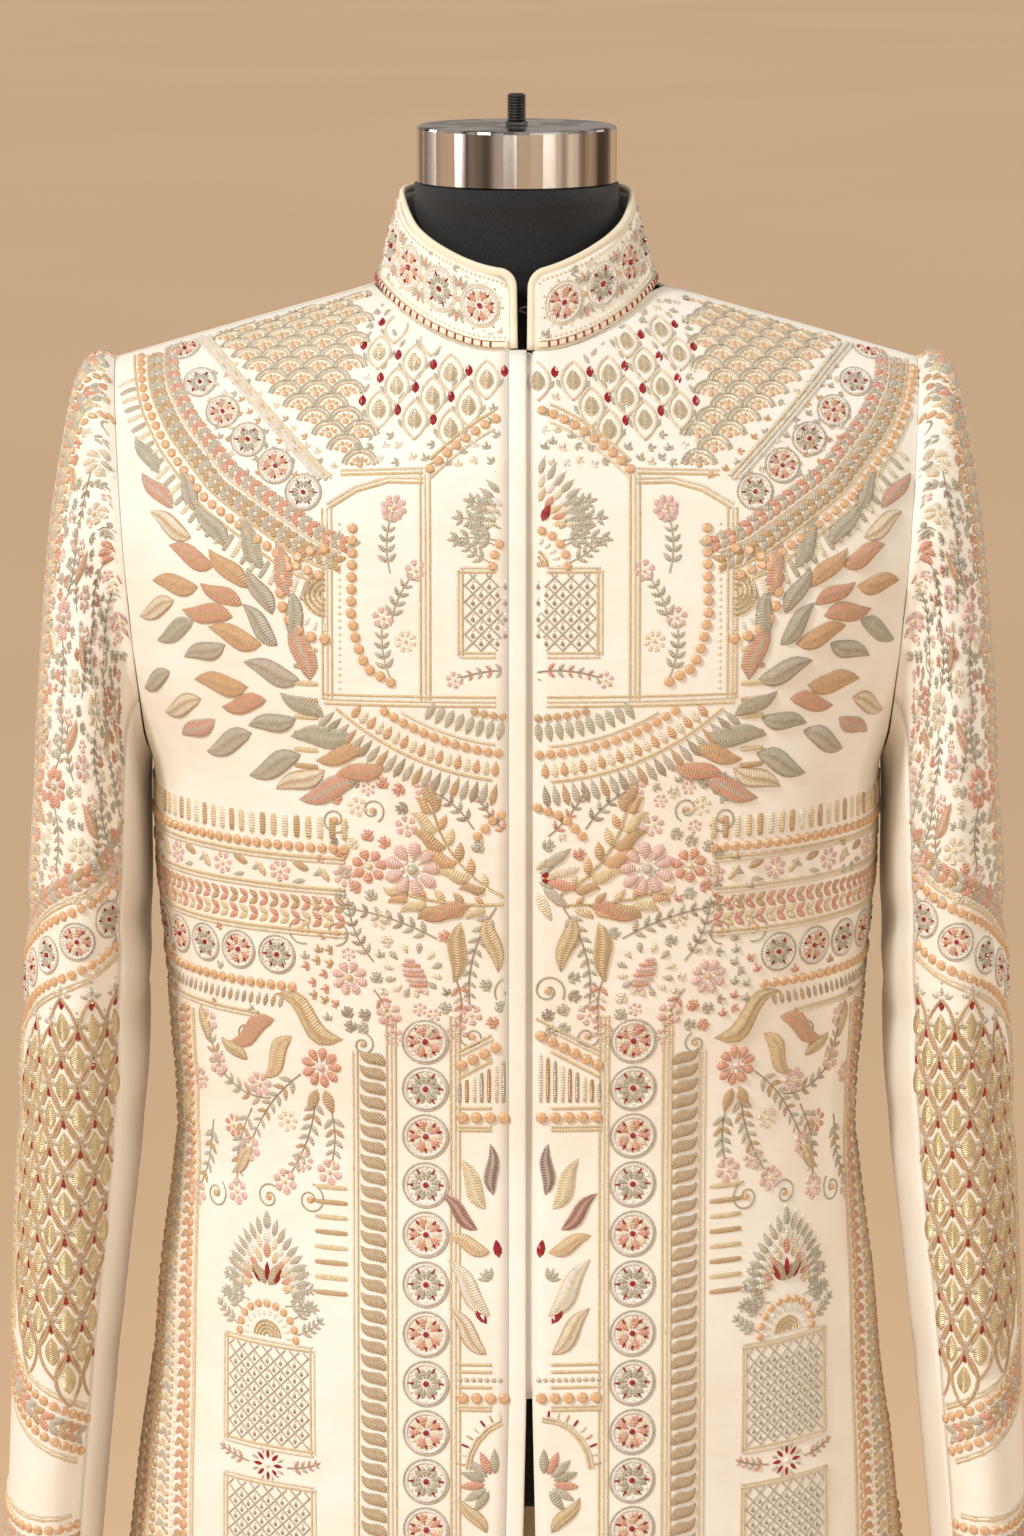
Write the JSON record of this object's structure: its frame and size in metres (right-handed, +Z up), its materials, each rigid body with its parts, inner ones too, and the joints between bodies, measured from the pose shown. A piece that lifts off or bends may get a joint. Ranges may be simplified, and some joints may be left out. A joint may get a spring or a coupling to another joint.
{
  "type": "sherwani coat on dress form",
  "caption": "Knee-length embroidered ivory coat with stand collar and long sleeves, worn by a limbless dress form on a round-footed stand.",
  "frame": {"origin": "middle of the stand's round foot, on the floor", "axes": "+Z up, the coat faces -Y and the wearer's left is +X"},
  "size_m": [0.588, 0.3654, 1.5622],
  "materials": {
    "embroidered_silk": "ivory silk covered with raised bead, cord and thread embroidery",
    "plain_silk": "plain ivory silk with a soft satin sheen",
    "cord_trim": "cream silk piping and braid",
    "dark_steel": "dark oiled steel",
    "black_jersey": "matte black stretch jersey over a smooth form",
    "polished_chrome": "polished chrome",
    "stand_paint": "black powder coat"
  },
  "bodies": {
    "root": {"front_left": "embroidered_silk", "front_right": "embroidered_silk", "back_left": "embroidered_silk", "back_right": "embroidered_silk", "placket_strip": "plain_silk", "underlap": "plain_silk", "top_sleeve_left": "embroidered_silk", "under_sleeve_left": "plain_silk", "top_sleeve_right": "embroidered_silk", "under_sleeve_right": "plain_silk", "collar": "embroidered_silk", "collar_base_trim": "cord_trim", "collar_piping": "cord_trim", "collar_hook": "dark_steel", "collar_eye": "dark_steel", "form_torso": "black_jersey", "neck_cap": "polished_chrome", "stud_washer": "dark_steel", "cap_stud": "dark_steel", "form_plate": "stand_paint", "stand_pole": "polished_chrome", "stand_base": "stand_paint"}
  },
  "joints": []
}
